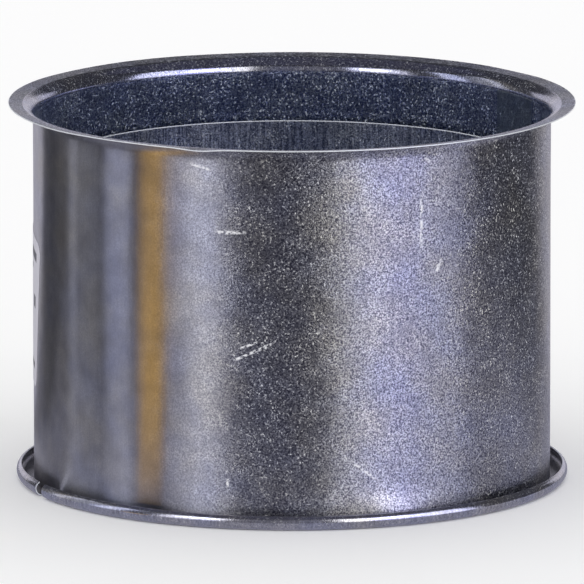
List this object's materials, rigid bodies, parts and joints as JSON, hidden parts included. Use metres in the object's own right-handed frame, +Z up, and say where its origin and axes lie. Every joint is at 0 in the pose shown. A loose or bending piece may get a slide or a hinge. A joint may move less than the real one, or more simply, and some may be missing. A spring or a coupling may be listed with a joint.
{
  "type": "wall thimble",
  "caption": "Round galvanised sheet-metal wall thimble: a flanged outer sleeve slides over an inner sleeve with a curled lip, lining a wall hole for a stovepipe.",
  "frame": {"origin": "on the sleeves' axis, in the plane that the curled lip stands on", "axes": "+Z up the axis from the lip to the flange; -Y towards the side that the picture shows, +X to its right"},
  "size_m": [0.1814, 0.1814, 0.1224],
  "materials": {
    "galvanised_sheet": "bright zinc spangle, lightly scratched",
    "paper_label": "matt"
  },
  "bodies": {
    "inner": {"inner_sleeve": "galvanised_sheet"},
    "outer": {"outer_sleeve": "galvanised_sheet", "label": "paper_label"}
  },
  "joints": [
    {"name": "sleeve_slide", "type": "slide", "parent": "inner", "child": "outer", "axis": [0, 0, 1], "range_m": [0, 0.065]}
  ]
}
